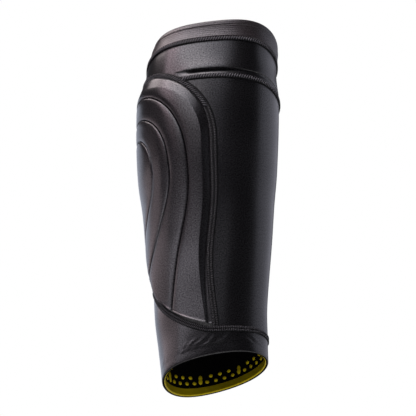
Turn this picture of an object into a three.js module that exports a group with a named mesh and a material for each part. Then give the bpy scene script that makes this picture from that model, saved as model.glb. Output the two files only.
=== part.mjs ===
// Padded leg sleeve in the shape it has on a lower leg.
// Millimetres and degrees, +Z up the leg, the shin faces -Y.
// The origin is on the leg's axis, level with the lower hem at the sides.
import * as THREE from 'three';

// Girths of the worn sleeve, a row for each height, on the outside of its fabric:
//   width   across the leg
//   depth   from shin to calf
//   centre  how far the girth's middle lies behind the leg's axis
//   egg     how much broader the shin half is than the calf half
//   full    how square the girth is at shin and calf
const LEG_GIRTHS = [
  { height: 0, width: 74.5, depth: 90, centre: -12.8, egg: 0.12, full: 0.13 },
  { height: 25, width: 82, depth: 93, centre: -12.4, egg: 0.07, full: -0.12 },
  { height: 55, width: 84.5, depth: 96.5, centre: -11.9, egg: 0.04, full: -0.08 },
  { height: 120, width: 94, depth: 104.5, centre: -5.8, egg: 0.01, full: 0.0 },
  { height: 155, width: 101.5, depth: 109.5, centre: -3.2, egg: 0.02, full: 0.01 },
  { height: 190, width: 109, depth: 117.5, centre: -1.5, egg: 0.04, full: 0.04 },
  { height: 255, width: 114, depth: 123, centre: 3.2, egg: 0.09, full: 0.2 },
  { height: 290, width: 110, depth: 118, centre: 6.5, egg: 0.1, full: 0.3 },
  { height: 320, width: 103, depth: 112, centre: 13, egg: 0.06, full: 0.32 },
];
const GIRTH_COLUMNS = ['width', 'depth', 'centre', 'egg', 'full'];

// Wall and clearances, and the distance within which points are one
const FABRIC = 1.8;
const GAP = 0.3;
const SEAM_INSET = 1.5;
const WELD = 0.0005;

// Rims: the top is almost level, the hem dips at the shin
const TOP_RIM = 320;
const TOP_TILT = 0.02;
const HEM_TILT = 0.118;

// Seams round the leg: height of the middle and half the width
const TOP_SEAM = { height: 299.7, half: 3.2 };
const COLLAR_SEAM = { height: 259, half: 2.6 };
const CUFF_SEAM = { half: 2.6 };

// The cuff seam runs level round the back and climbs to an arch over the shin
const CUFF_ARCH = { side: 20, back: 24, rise: 88, halfTurn: 98, round: 18, power: 1.75, backTurn: 60 };

// Lines of the shin pad from the middle outwards, all of one family. Each goes up from the pad's
// lower edge to its widest place and closes over the shin in an arch:
//   halfTurn  angle round the leg at its widest
//   widest    height of that place
//   top       height of the arch
//   drawIn    angle by which it has drawn in towards the shin 100 mm below the widest place
const INNER_CHANNEL = { halfTurn: 42.5, widest: 177, top: 224.5, drawIn: 117 };
const MIDDLE_CHANNEL = { halfTurn: 61, widest: 173, top: 241, drawIn: 52 };
const OUTER_CHANNEL = { halfTurn: 78, widest: 167, top: 260.5, drawIn: 16 };
const PAD_BROW = { halfTurn: 90, widest: 190, top: 266, drawIn: 0 };
const PAD_FOOT = { halfTurn: 95.6, widest: 190, top: 274, drawIn: 0 };
const SEAM_INNER = { halfTurn: 96, widest: 190, top: 274.4, drawIn: 0 };
const SEAM_OUTER = { halfTurn: 103, widest: 190, top: 280.4, drawIn: 0 };
const PANEL_EDGE = { halfTurn: 103.4, widest: 190, top: 280.8, drawIn: 0 };
const PAD_LINES = [INNER_CHANNEL, MIDDLE_CHANNEL, OUTER_CHANNEL, PAD_BROW, PAD_FOOT];
const LINE_COLUMNS = ['halfTurn', 'widest', 'top', 'drawIn'];
const ARCH_POWER = 2.35;
const DRAW_POWER = 1.8;
const DRAW_SPAN = 100;
const WAIST = { depth: 0.04, height: 88, reach: 62 };

// Height of the pad over the fabric. It thins to `lowShare` of that between two heights.
const PAD = { crown: 6.6, shoulder: 6.0, channel: 4.4, brow: 5.8, foot: 0.6 };
const PAD_THINS = { from: 110, to: 35, lowShare: 0.7 };

// Length of the slope down to the cuff seam: gentle over the shin, steep from `turn` on
const PAD_TOE = { shin: 40, side: 3, turn: 60 };

// Cross-sections of the pad's lobes: share of the way to the next line, and height there.
// The lobe next to the middle one has more rows where it ends on the crown of the cuff seam's arch.
const MIDDLE_LOBE = [
  { inside: 0, out: PAD.crown },
  { inside: 0.5, out: PAD.crown },
  { inside: 0.88, out: PAD.shoulder },
];
const LOBE_RISE = [
  { share: 0, out: PAD.channel },
  { share: 0.12, out: PAD.shoulder },
  { share: 0.5, out: PAD.crown },
];
const LOBE_FALL = { share: 0.88, out: PAD.shoulder };
const LOBE_CROWN = [0.69, 0.76, 0.82].map((share) => ({ share, out: PAD.crown }));
const BEVEL_ROWS = [
  { share: 0, out: PAD.brow },
  { share: 0.3, out: PAD.brow * 0.8 },
  { share: 1, out: PAD.foot },
];
const LOBES = [
  [...LOBE_RISE, ...LOBE_CROWN, LOBE_FALL],
  [...LOBE_RISE, LOBE_FALL],
  LOBE_RISE,
  BEVEL_ROWS,
];

// Raised parts of the ring pieces
const SEAM_CREST = 0.9;
const SEAM_EDGE = 0.35;
const BAND = { strip: 0.9, groove: 0.2, grooveHeight: 313.5, edge: 0.9 };

// The collar's tuck: it hangs over at the sides and fades towards the pad and the calf.
// Its cross-section gives heights over its lip and the share of its reach there.
const TUCK = { height: 267.6, reach: 2.4, padFrom: 66, padTo: 84, calfFrom: 110, calfShare: 0.5 };
const TUCK_ROWS = [
  { above: -1, share: 0 },
  { above: 0, share: 1 },
  { above: 3, share: 0.95 },
  { above: 10, share: 0.45 },
];

// The cuff's hem, and its creases: place, slant, length, width and how far each stands out
const HEM = { height: 7, lip: 0.5, edge: 0.8 };
const CREASES = [
  { turn: 22, above: 9, slant: 70, length: 16, width: 3.2, out: 0.9 },
  { turn: 34, above: 14, slant: 60, length: 14, width: 3.0, out: 0.7 },
  { turn: 62, above: 15, slant: 35, length: 16, width: 3.0, out: 0.9 },
  { turn: 78, above: 12, slant: 25, length: 18, width: 3.0, out: 0.9 },
  { turn: 96, above: 11, slant: 15, length: 20, width: 3.2, out: 0.8 },
  { turn: 128, above: 12, slant: -12, length: 22, width: 3.4, out: 0.6 },
];

// Silicone grip band inside the hem
const GRIP = { thickness: 1, low: 0.2, high: 7.5 };

// Cells of each piece's surface
const RING_CELLS = 42;
const CUFF_CELLS = 56;
const CUFF_BANDS = 4;
const PAD_SIDE_CELLS = 12;
const PAD_ARCH_CELLS = 12;
const PAD_FIRST_CELL = 0.012;
const CALF_CELLS = 14;

const KNIT_BLACK = { color: '#3a393d', roughness: 0.75 };
const PAD_BLACK = { color: '#403f43', roughness: 0.7 };
const THREAD_BLACK = { color: '#4a494d', roughness: 0.8 };
const SILICONE_YELLOW = { color: '#b5a015', roughness: 0.45 };

const toRadians = THREE.MathUtils.degToRad;
const lerp = THREE.MathUtils.lerp;
const smoothstep = THREE.MathUtils.smoothstep;

// Slope of one girth column at a row, from the rows on both sides
function girthSlope(row, column) {
  const below = LEG_GIRTHS[Math.max(row - 1, 0)];
  const above = LEG_GIRTHS[Math.min(row + 1, LEG_GIRTHS.length - 1)];
  return (above[column] - below[column]) / (above.height - below.height);
}

// Girth at any height, on a smooth curve through the rows
function girthAt(height) {
  let row = 0;
  while (row < LEG_GIRTHS.length - 2 && height > LEG_GIRTHS[row + 1].height) row += 1;
  const low = LEG_GIRTHS[row];
  const high = LEG_GIRTHS[row + 1];
  const span = high.height - low.height;
  const u = (height - low.height) / span;
  const ease = u * u * (3 - 2 * u);
  const girth = {};
  for (const column of GIRTH_COLUMNS) {
    const leave = girthSlope(row, column) * span * u * (1 - u) * (1 - u);
    const arrive = girthSlope(row + 1, column) * span * u * u * (u - 1);
    girth[column] = lerp(low[column], high[column], ease) + leave + arrive;
  }
  return girth;
}

// A point at an angle round the leg and a height, `out` millimetres off the fabric's outside
function skin({ turn, height, out }) {
  const girth = girthAt(height);
  const sine = Math.sin(toRadians(turn));
  const cosine = Math.cos(toRadians(turn));
  const swell = 1 + girth.egg * cosine + girth.full * cosine * cosine;
  const x = (girth.width / 2) * sine * swell;
  const y = girth.centre - (girth.depth / 2) * cosine;
  const bend = sine * sine * (girth.egg + 2 * girth.full * cosine);
  const alongX = (girth.width / 2) * (cosine * swell - bend);
  const alongY = (girth.depth / 2) * sine;
  const step = Math.hypot(alongX, alongY);
  return new THREE.Vector3(x + (out * alongY) / step, y - (out * alongX) / step, height);
}

// Height on a rim that is tilted about the leg's axis
function tilted(turn, height, tilt) {
  return height + tilt * skin({ turn, height, out: 0 }).y;
}

// Angle from the shin, 0 to 180, for any angle round the leg
function fromShin(turn) {
  return Math.abs(THREE.MathUtils.euclideanModulo(turn + 180, 360) - 180);
}

// Height of the cuff seam's middle
function cuffMiddle(turn) {
  const angle = fromShin(turn);
  const { side, back, rise, halfTurn, round, power, backTurn } = CUFF_ARCH;
  const inward = Math.max(0, 1 - Math.hypot(angle, round) / halfTurn);
  const behind = smoothstep(angle, halfTurn, halfTurn + backTurn);
  return lerp(side, back, behind) + rise * inward ** power;
}

// Height of a line that runs beside the cuff seam, `aside` millimetres above its middle
function besideCuffSeam(turn, aside) {
  const reach = 0.5;
  const before = skin({ turn: turn - reach, height: cuffMiddle(turn - reach), out: 0 });
  const after = skin({ turn: turn + reach, height: cuffMiddle(turn + reach), out: 0 });
  const run = Math.hypot(after.x - before.x, after.y - before.y);
  return cuffMiddle(turn) + aside * Math.hypot(1, (after.z - before.z) / run);
}

// Lower edge of the panels that stand on the cuff seam, and height of the hem's rim
const onCuffSeam = (turn) => besideCuffSeam(turn, CUFF_SEAM.half + GAP);
const hemRim = (turn) => tilted(turn, 0, HEM_TILT);

// A line between two neighbours of the pad's family
function lineBetween(low, high, share) {
  const line = {};
  for (const column of LINE_COLUMNS) line[column] = lerp(low[column], high[column], share);
  return line;
}

// The pad narrows a little above the ankle
function waist(height) {
  const away = Math.min(1, Math.abs(height - WAIST.height) / WAIST.reach);
  return 1 - WAIST.depth * Math.cos((away * Math.PI) / 2) ** 2;
}

// Angle of a pad line at a height, below and above its widest place
function lineTurn(line, height) {
  const drop = line.widest - height;
  if (drop >= 0) {
    const drawn = line.halfTurn - line.drawIn * (drop / DRAW_SPAN) ** DRAW_POWER;
    return Math.max(0, drawn) * waist(height);
  }
  const climb = Math.min(1, -drop / (line.top - line.widest));
  return line.halfTurn * (1 - climb ** ARCH_POWER) ** (1 / ARCH_POWER) * waist(height);
}

// Height of a pad line's arch over an angle, or the lowest height where the arch has ended
function archHeight(line, angle) {
  const share = Math.min(1, angle / line.halfTurn);
  return line.widest + (line.top - line.widest) * (1 - share ** ARCH_POWER) ** (1 / ARCH_POWER);
}

// Height where a pad line ends: on the cuff seam, or on the middle of the shin
function lineEnd(line) {
  let low = 0;
  let high = line.widest;
  for (let i = 0; i < 40; i += 1) {
    const height = (low + high) / 2;
    const turn = lineTurn(line, height);
    if (turn > 0 && height > onCuffSeam(turn)) high = height;
    else low = height;
  }
  return high;
}

// Place on a pad line, from its lower end (0) by its widest place (0.5) to the top of its arch (1)
function alongLine(line, share) {
  if (share <= 0.5) {
    const height = lerp(lineEnd(line), line.widest, share * 2);
    return { turn: lineTurn(line, height), height };
  }
  const sweep = (share - 0.5) * Math.PI;
  const climb = Math.sin(sweep) ** (2 / ARCH_POWER);
  const height = lerp(line.widest, line.top, climb);
  const turn = line.halfTurn * Math.max(0, Math.cos(sweep)) ** (2 / ARCH_POWER);
  return { turn: turn * waist(height), height };
}

// Closed wall between an outer and an inner sheet that share one grid of cells.
// `place` gives angle, height and outer offset for a row and a column.
function wall(rows, columns, place, inner) {
  const points = [];
  const byKey = new Map();
  const faces = [];
  const addPoint = (at) => {
    const key = at.toArray().map((value) => Math.round(value / WELD)).join();
    if (!byKey.has(key)) {
      byKey.set(key, points.length);
      points.push(at);
    }
    return byKey.get(key);
  };
  const addFace = (a, b, c) => {
    if (a !== b && b !== c && a !== c) faces.push([a, b, c]);
  };
  const outside = [];
  const inside = new Map();
  for (let row = 0; row <= rows; row += 1) {
    outside.push([]);
    for (let column = 0; column <= columns; column += 1) {
      const spot = place(row, column);
      const index = addPoint(skin(spot));
      outside[row].push(index);
      inside.set(index, { ...spot, out: inner });
    }
  }
  for (let row = 0; row < rows; row += 1) {
    for (let column = 0; column < columns; column += 1) {
      const [a, b] = [outside[row][column], outside[row][column + 1]];
      const [c, d] = [outside[row + 1][column + 1], outside[row + 1][column]];
      addFace(a, b, c);
      addFace(a, c, d);
    }
  }
  const sheet = faces.slice();
  const innerIndex = new Map();
  for (const [index, spot] of inside) innerIndex.set(index, addPoint(skin(spot)));
  for (const [a, b, c] of sheet) addFace(innerIndex.get(a), innerIndex.get(c), innerIndex.get(b));
  const edges = new Set();
  for (const [a, b, c] of sheet) {
    for (const [from, to] of [[a, b], [b, c], [c, a]]) edges.add(`${from},${to}`);
  }
  for (const edge of edges) {
    const [from, to] = edge.split(',').map(Number);
    if (edges.has(`${to},${from}`)) continue;
    addFace(to, from, innerIndex.get(from));
    addFace(to, innerIndex.get(from), innerIndex.get(to));
  }
  return closedGeometry(points, faces);
}

function closedGeometry(points, faces) {
  const geometry = new THREE.BufferGeometry();
  geometry.setAttribute('position', new THREE.Float32BufferAttribute(points.flatMap((p) => p.toArray()), 3));
  geometry.setIndex(faces.flat());
  geometry.computeVertexNormals();
  return geometry;
}

// Cross-section of a raised seam: share of its width and how far it stands out
const SEAM_PROFILE = [
  { across: 0, out: SEAM_EDGE },
  { across: 0.25, out: SEAM_CREST },
  { across: 0.75, out: SEAM_CREST },
  { across: 1, out: SEAM_EDGE },
];

function ringTurn(column, cells) {
  return -180 + (360 * column) / cells;
}

// Elastic band: two strips with a groove between them and a rounded upper edge
function topBand() {
  const low = TOP_SEAM.height + TOP_SEAM.half + GAP;
  const levels = [
    { height: low, out: BAND.groove },
    { height: low + BAND.edge, out: BAND.strip },
    { height: BAND.grooveHeight - BAND.edge, out: BAND.strip },
    { height: BAND.grooveHeight, out: BAND.groove },
    { height: BAND.grooveHeight + BAND.edge, out: BAND.strip },
    { height: TOP_RIM - BAND.edge, out: BAND.strip },
    { height: TOP_RIM, out: BAND.groove },
  ];
  const place = (row, column) => {
    const turn = ringTurn(column, RING_CELLS);
    return { turn, height: tilted(turn, levels[row].height, TOP_TILT), out: levels[row].out };
  };
  return wall(levels.length - 1, RING_CELLS, place, -FABRIC);
}

function topSeam() {
  const place = (row, column) => {
    const turn = ringTurn(column, RING_CELLS);
    const { across, out } = SEAM_PROFILE[row];
    const height = TOP_SEAM.height + lerp(-TOP_SEAM.half, TOP_SEAM.half, across);
    return { turn, height: tilted(turn, height, TOP_TILT), out };
  };
  return wall(SEAM_PROFILE.length - 1, RING_CELLS, place, -SEAM_INSET);
}

// How far the tuck hangs out at an angle
function tuckShare(turn) {
  const angle = fromShin(turn);
  const atPad = smoothstep(angle, TUCK.padFrom, TUCK.padTo);
  return atPad * lerp(1, TUCK.calfShare, smoothstep(angle, TUCK.calfFrom, 180));
}

// Collar: from the pad's arch at the shin, or the collar seam behind it, up to the top seam
function collar() {
  const foot = COLLAR_SEAM.height + COLLAR_SEAM.half + GAP;
  const head = TOP_SEAM.height - TOP_SEAM.half - GAP;
  const tuck = TUCK_ROWS.map(({ above, share }) => ({ height: TUCK.height + above, share }));
  const levels = [{ height: foot, share: 0 }, ...tuck, { height: head, share: 0 }];
  const place = (row, column) => {
    const turn = ringTurn(column, RING_CELLS);
    const low = Math.max(foot, archHeight(PANEL_EDGE, fromShin(turn)));
    const climb = (levels[row].height - foot) / (head - foot);
    const height = lerp(low, tilted(turn, head, TOP_TILT), climb);
    return { turn, height, out: TUCK.reach * levels[row].share * tuckShare(turn) };
  };
  return wall(levels.length - 1, RING_CELLS, place, -FABRIC);
}

// Angle on a strip round the back, from one of the pad's side seams to the other
function backTurn(height, column, cells) {
  const start = lineTurn(PANEL_EDGE, height);
  return lerp(start, 360 - start, column / cells);
}

function collarSeam() {
  const place = (row, column) => {
    const { across, out } = SEAM_PROFILE[row];
    const height = COLLAR_SEAM.height + lerp(-COLLAR_SEAM.half, COLLAR_SEAM.half, across);
    return { turn: backTurn(height, column, RING_CELLS / 2), height, out };
  };
  return wall(SEAM_PROFILE.length - 1, RING_CELLS / 2, place, -SEAM_INSET);
}

// Calf panel: between the side seams, from the cuff seam to the collar seam
function calfPanel() {
  const head = COLLAR_SEAM.height - COLLAR_SEAM.half - GAP;
  const foot = lineEnd(PANEL_EDGE);
  const levels = padShares().map((share) => alongLine(PANEL_EDGE, share).height);
  const heights = [...levels.filter((height) => height < head), head];
  const place = (row, column) => {
    const turn = backTurn(heights[row], column, CALF_CELLS);
    const share = (heights[row] - foot) / (head - foot);
    return { turn, height: lerp(onCuffSeam(turn), head, share), out: 0 };
  };
  return wall(heights.length - 1, CALF_CELLS, place, -FABRIC);
}

// Places of the grid lines along a pad line, close together at the lower end for its bevel
function padShares() {
  const shares = [0];
  for (let i = 0; i < PAD_SIDE_CELLS; i += 1) {
    shares.push(lerp(PAD_FIRST_CELL, 0.5, i / (PAD_SIDE_CELLS - 1)));
  }
  for (let i = 1; i <= PAD_ARCH_CELLS; i += 1) shares.push(lerp(0.5, 1, i / PAD_ARCH_CELLS));
  return shares;
}

// The same places up one side of the shin and down the other
function bothSides(shares) {
  const up = shares.map((share) => ({ share, side: -1 }));
  const down = shares.slice(0, -1).reverse().map((share) => ({ share, side: 1 }));
  return [...up, ...down];
}

// Rows of the pad's surface: the line that each follows, inwards of it or towards the next line
function padRows() {
  const middle = MIDDLE_LOBE.map((row) => ({ line: 0, share: 0, ...row }));
  const others = LOBES.flatMap((lobe, line) => lobe.map((row) => ({ line, inside: 1, ...row })));
  return [...middle, ...others];
}

// Shin pad: pillowed lobes between its channels, a bevel down to the seam all round
function shinPad() {
  const rows = padRows();
  const columns = bothSides(padShares());
  const place = (row, column) => {
    const { line, inside, share, out } = rows[row];
    const { share: along, side } = columns[column];
    const spot = alongLine(lineBetween(PAD_LINES[line], PAD_LINES[line + 1], share), along);
    const turn = spot.turn * inside;
    const thinned = lerp(PAD_THINS.lowShare, 1, smoothstep(spot.height, PAD_THINS.to, PAD_THINS.from));
    const slope = lerp(PAD_TOE.shin, PAD_TOE.side, smoothstep(turn, 0, PAD_TOE.turn));
    const bevel = Math.sqrt(smoothstep(spot.height - onCuffSeam(turn), 0, slope));
    return { turn: turn * side, height: spot.height, out: lerp(PAD.foot, out * thinned, bevel) };
  };
  return wall(rows.length - 1, columns.length - 1, place, -FABRIC);
}

function padSeam() {
  const columns = bothSides(padShares());
  const place = (row, column) => {
    const { across, out } = SEAM_PROFILE[row];
    const { share, side } = columns[column];
    const spot = alongLine(lineBetween(SEAM_INNER, SEAM_OUTER, across), share);
    return { turn: spot.turn * side, height: spot.height, out };
  };
  return wall(SEAM_PROFILE.length - 1, columns.length - 1, place, -SEAM_INSET);
}

function cuffSeam() {
  const place = (row, column) => {
    const turn = ringTurn(column, CUFF_CELLS);
    const { across, out } = SEAM_PROFILE[row];
    const aside = lerp(-CUFF_SEAM.half, CUFF_SEAM.half, across);
    return { turn, height: besideCuffSeam(turn, aside), out };
  };
  return wall(SEAM_PROFILE.length - 1, CUFF_CELLS, place, -SEAM_INSET);
}

// How far the creases push the cuff out at a place, the same on both sides of the leg
function creaseOut(turn, above) {
  const perDegree = Math.PI * (LEG_GIRTHS[0].width / 360);
  let out = 0;
  for (const crease of CREASES) {
    const round = (fromShin(turn) - crease.turn) * perDegree;
    const up = above - crease.above;
    const sine = Math.sin(toRadians(crease.slant));
    const cosine = Math.cos(toRadians(crease.slant));
    const along = (round * cosine + up * sine) / (crease.length / 2);
    const across = (up * cosine - round * sine) / crease.width;
    out += crease.out * Math.exp(-along * along - across * across);
  }
  return out;
}

// Ankle cuff: a thicker hem at the rim, then creased fabric up to the cuff seam
function ankleCuff() {
  const levels = [
    { above: 0, out: 0 },
    { above: HEM.edge, out: HEM.lip },
    { above: HEM.height - HEM.edge, out: HEM.lip },
    { above: HEM.height, out: 0 },
  ];
  const place = (row, column) => {
    const turn = ringTurn(column, CUFF_CELLS);
    const rim = hemRim(turn);
    if (row < levels.length) {
      const level = levels[row];
      return { turn, height: rim + level.above, out: level.out };
    }
    const share = (row - levels.length + 1) / CUFF_BANDS;
    const height = lerp(rim + HEM.height, besideCuffSeam(turn, -CUFF_SEAM.half - GAP), share);
    const calm = Math.min(1, (1 - share) * CUFF_BANDS);
    return { turn, height, out: calm * creaseOut(turn, height - rim) };
  };
  return wall(levels.length - 1 + CUFF_BANDS, CUFF_CELLS, place, -FABRIC);
}

// Grip band: lies against the inside of the hem
function gripBand() {
  const outer = -FABRIC - GAP;
  const place = (row, column) => {
    const turn = ringTurn(column, RING_CELLS);
    return { turn, height: hemRim(turn) + (row === 0 ? GRIP.low : GRIP.high), out: outer };
  };
  return wall(1, RING_CELLS, place, outer - GRIP.thickness);
}

const PIECES = [
  { name: 'top_band', build: topBand, look: KNIT_BLACK },
  { name: 'top_seam', build: topSeam, look: THREAD_BLACK },
  { name: 'collar', build: collar, look: KNIT_BLACK },
  { name: 'collar_seam', build: collarSeam, look: THREAD_BLACK },
  { name: 'calf_panel', build: calfPanel, look: KNIT_BLACK },
  { name: 'shin_pad', build: shinPad, look: PAD_BLACK },
  { name: 'pad_seam', build: padSeam, look: THREAD_BLACK },
  { name: 'cuff_seam', build: cuffSeam, look: THREAD_BLACK },
  { name: 'ankle_cuff', build: ankleCuff, look: KNIT_BLACK },
  { name: 'grip_band', build: gripBand, look: SILICONE_YELLOW },
];

const sleeve = new THREE.Group();
for (const { name, build, look } of PIECES) {
  const material = new THREE.MeshStandardMaterial({ ...look, metalness: 0 });
  const mesh = new THREE.Mesh(build(), material);
  mesh.name = name;
  sleeve.add(mesh);
}

export default sleeve;
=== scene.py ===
# %% [markdown]
# A padded leg sleeve. The real one is a tube of black stretch knit for the lower leg, with a foam
# pad over the shin, an elastic band at the top and a cuff with a rubbery grip at the ankle.
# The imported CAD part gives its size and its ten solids. This script loads them as a fixed frame and
# makes a finer soft piece for each one, in the same place, in metres.

# %% Load the CAD part as the frame
import math

import bpy
import numpy as np
from mathutils import Matrix, Vector


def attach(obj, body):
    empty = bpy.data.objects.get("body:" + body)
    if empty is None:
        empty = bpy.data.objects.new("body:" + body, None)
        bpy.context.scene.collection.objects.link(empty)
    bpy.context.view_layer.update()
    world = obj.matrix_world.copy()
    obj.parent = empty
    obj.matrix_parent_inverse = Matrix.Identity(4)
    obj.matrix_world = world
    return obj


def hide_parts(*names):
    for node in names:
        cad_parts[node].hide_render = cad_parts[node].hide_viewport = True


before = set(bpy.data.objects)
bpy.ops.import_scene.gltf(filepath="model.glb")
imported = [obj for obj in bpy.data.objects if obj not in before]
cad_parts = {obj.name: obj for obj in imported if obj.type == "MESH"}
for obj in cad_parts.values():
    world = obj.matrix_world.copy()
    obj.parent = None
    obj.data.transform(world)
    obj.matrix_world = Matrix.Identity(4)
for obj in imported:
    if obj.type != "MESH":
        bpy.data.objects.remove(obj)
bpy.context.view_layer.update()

MM = 0.001
scene = bpy.context.scene
print("CAD nodes:", sorted(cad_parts))

# %% [markdown]
# The leg's form. Every panel lies on one surface, so it is written once, as a formula: a girth at
# each height, given by a few rows of a table, and a smooth curve through the rows. A place on the
# sleeve is then an angle round the leg, a height and a distance off the fabric. Sculpting or
# shrink-wrapping onto the faceted solids would also work, but a formula stays smooth at any size
# and lets every seam and channel follow the same lines as the CAD source.

# %% Girths of the worn sleeve
GIRTH_HEIGHTS = np.array([0, 25, 55, 120, 155, 190, 255, 290, 320]) * MM
GIRTH_WIDTHS = np.array([74.5, 82, 84.5, 94, 101.5, 109, 114, 110, 103]) * MM
GIRTH_DEPTHS = np.array([90, 93, 96.5, 104.5, 109.5, 117.5, 123, 118, 112]) * MM
GIRTH_CENTRES = np.array([-12.8, -12.4, -11.9, -5.8, -3.2, -1.5, 3.2, 6.5, 13]) * MM
GIRTH_EGGS = np.array([0.12, 0.07, 0.04, 0.01, 0.02, 0.04, 0.09, 0.1, 0.06])
GIRTH_FULLS = np.array([0.13, -0.12, -0.08, 0, 0.01, 0.04, 0.2, 0.3, 0.32])
GIRTHS = [GIRTH_WIDTHS, GIRTH_DEPTHS, GIRTH_CENTRES, GIRTH_EGGS, GIRTH_FULLS]
GIRTH_STEPS = 180


def lerp(low, high, share):
    return low + (high - low) * share


def smoothstep(value, low, high):
    share = np.clip((value - low) / (high - low), 0, 1)
    return share * share * (3 - 2 * share)


def at_height(column, height):
    """A girth column at any height, on a smooth curve through its rows."""
    last = len(GIRTH_HEIGHTS) - 1
    rows = np.arange(last + 1)
    below, above = np.maximum(rows - 1, 0), np.minimum(rows + 1, last)
    slopes = (column[above] - column[below]) / (GIRTH_HEIGHTS[above] - GIRTH_HEIGHTS[below])
    row = np.clip(np.searchsorted(GIRTH_HEIGHTS, height) - 1, 0, last - 1)
    span = GIRTH_HEIGHTS[row + 1] - GIRTH_HEIGHTS[row]
    u = (height - GIRTH_HEIGHTS[row]) / span
    ease = lerp(column[row], column[row + 1], u * u * (3 - 2 * u))
    return ease + span * u * (1 - u) * (slopes[row] * (1 - u) - slopes[row + 1] * u)


def skin(turn, height, out):
    """Points at an angle from the shin in degrees, a height, and a distance off the fabric."""
    turn, height, out = np.broadcast_arrays(turn, height, out)
    width, depth, centre, egg, full = (at_height(column, height) for column in GIRTHS)
    sine, cosine = np.sin(np.radians(turn)), np.cos(np.radians(turn))
    swell = 1 + egg * cosine + full * cosine**2
    along_x = width / 2 * (cosine * swell - sine**2 * (egg + 2 * full * cosine))
    along_y = depth / 2 * sine
    step = np.hypot(along_x, along_y)
    x = width / 2 * sine * swell + out * along_y / step
    y = centre - depth / 2 * cosine - out * along_x / step
    return np.stack([x, y, height], -1)


def tilted(turn, height, tilt):
    """Height on a rim that is tilted about the leg's axis."""
    return height + tilt * skin(turn, height, 0)[..., 1]


def girth_at(height, first=-180, last=180):
    """Length of a walk round the leg at a height, from one angle to another."""
    walk = skin(np.linspace(first, last, GIRTH_STEPS + 1), height, 0)
    return float(np.linalg.norm(np.diff(walk, axis=0), axis=1).sum())


print("hem girth in mm:", round(girth_at(0) / MM))

# %% Seam lines round the leg
FABRIC = 1.8 * MM
TOP_TILT, HEM_TILT = 0.02, 0.118
TOP_SEAM, TOP_SEAM_LOW, TOP_SEAM_HIGH = 299.7 * MM, -2.6 * MM, 1.3 * MM
COLLAR_SEAM, COLLAR_SEAM_HALF = 259 * MM, 2.3 * MM
CUFF_SEAM_HALF = 2.6 * MM
PAD_CLEAR = CUFF_SEAM_HALF + 0.3 * MM  # the pad ends so far from the middle of the cuff seam
CUFF_SIDE, CUFF_BACK, CUFF_RISE = 20 * MM, 24 * MM, 88 * MM
CUFF_HALF_TURN, CUFF_ROUND, CUFF_POWER, CUFF_BACK_TURN = 98, 18, 1.75, 60
SLOPE_REACH = 0.5  # degrees to each side for measuring a seam's slope


def from_shin(turn):
    return np.abs((turn + 180) % 360 - 180)


def cuff_middle(turn):
    """Height of the cuff seam: level round the back, an arch over the shin."""
    angle = from_shin(turn)
    inward = np.maximum(0, 1 - np.hypot(angle, CUFF_ROUND) / CUFF_HALF_TURN)
    behind = smoothstep(angle, CUFF_HALF_TURN, CUFF_HALF_TURN + CUFF_BACK_TURN)
    return lerp(CUFF_SIDE, CUFF_BACK, behind) + CUFF_RISE * inward**CUFF_POWER


def beside_cuff_seam(turn, aside):
    """Height of a line that runs beside the cuff seam, so far above its middle."""
    before, after = turn - SLOPE_REACH, turn + SLOPE_REACH
    step = skin(after, cuff_middle(after), 0) - skin(before, cuff_middle(before), 0)
    slope = step[..., 2] / np.hypot(step[..., 0], step[..., 1])
    return cuff_middle(turn) + aside * np.hypot(1, slope)


def hem_rim(turn):
    return tilted(turn, 0 * turn, HEM_TILT)


print("top of the cuff seam's arch in mm:", round(float(cuff_middle(0)) / MM, 1))

# %% [markdown]
# The pad's lines. The pressed channels, the pad's edge and the seam round it are one family of
# curves: each goes up from the cuff seam to its widest place and closes over the shin in an arch.
# Four numbers give a line, and lines between two neighbours come from blending the numbers, which
# is how the pad gets rows of points that run along its channels.

# %% Lines of the shin pad
# Columns: half angle, height of the widest place, height of the arch, drawing in below
INNER_CHANNEL = np.array([42.5, 177 * MM, 224.5 * MM, 117])
MIDDLE_CHANNEL = np.array([61, 173 * MM, 241 * MM, 52])
OUTER_CHANNEL = np.array([78, 167 * MM, 260.5 * MM, 16])
PAD_BROW = np.array([90, 190 * MM, 265.5 * MM, 0])
PAD_FOOT = np.array([95.6, 190 * MM, 274 * MM, 0])
SEAM_INNER = np.array([96, 190 * MM, 274.4 * MM, 0])
SEAM_OUTER = np.array([103, 190 * MM, 280.4 * MM, 0])
ARCH_POWER, DRAW_POWER, DRAW_SPAN = 2.35, 1.8, 100 * MM
HEIGHT_HALVINGS, SHARE_HALVINGS = 30, 40  # enough to find a place to far less than a micrometre
WAIST_DEPTH, WAIST_HEIGHT, WAIST_REACH = 0.04, 88 * MM, 62 * MM


def waist(height):
    away = np.minimum(1, np.abs(height - WAIST_HEIGHT) / WAIST_REACH)
    return 1 - WAIST_DEPTH * np.cos(away * math.pi / 2) ** 2


def line_turn(line, height):
    """Angle of a pad line at a height."""
    half_turn, widest, top, draw_in = line
    drop = np.maximum(0, widest - height) / DRAW_SPAN
    climb = np.clip((height - widest) / (top - widest), 0, 1)
    drawn = np.maximum(0, half_turn - draw_in * drop**DRAW_POWER)
    return drawn * (1 - climb**ARCH_POWER) ** (1 / ARCH_POWER) * waist(height)


def arch_height(line, angle):
    share = np.minimum(1, angle / line[0])
    return line[1] + (line[2] - line[1]) * (1 - share**ARCH_POWER) ** (1 / ARCH_POWER)


def halved(low, high, times, holds):
    """The values on both sides of the place from where a condition holds."""
    for _ in range(times):
        middle = (low + high) / 2
        met = holds(middle)
        low, high = np.where(met, low, middle), np.where(met, middle, high)
    return low, high


def line_end(line):
    """Height where a pad line ends: on the cuff seam, or on the middle of the shin."""
    def clear(height):
        turn = line_turn(line, height)
        return (turn > 0) & (height > beside_cuff_seam(turn, PAD_CLEAR))

    return halved(0 * line[1], line[1], HEIGHT_HALVINGS, clear)[1]


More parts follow.
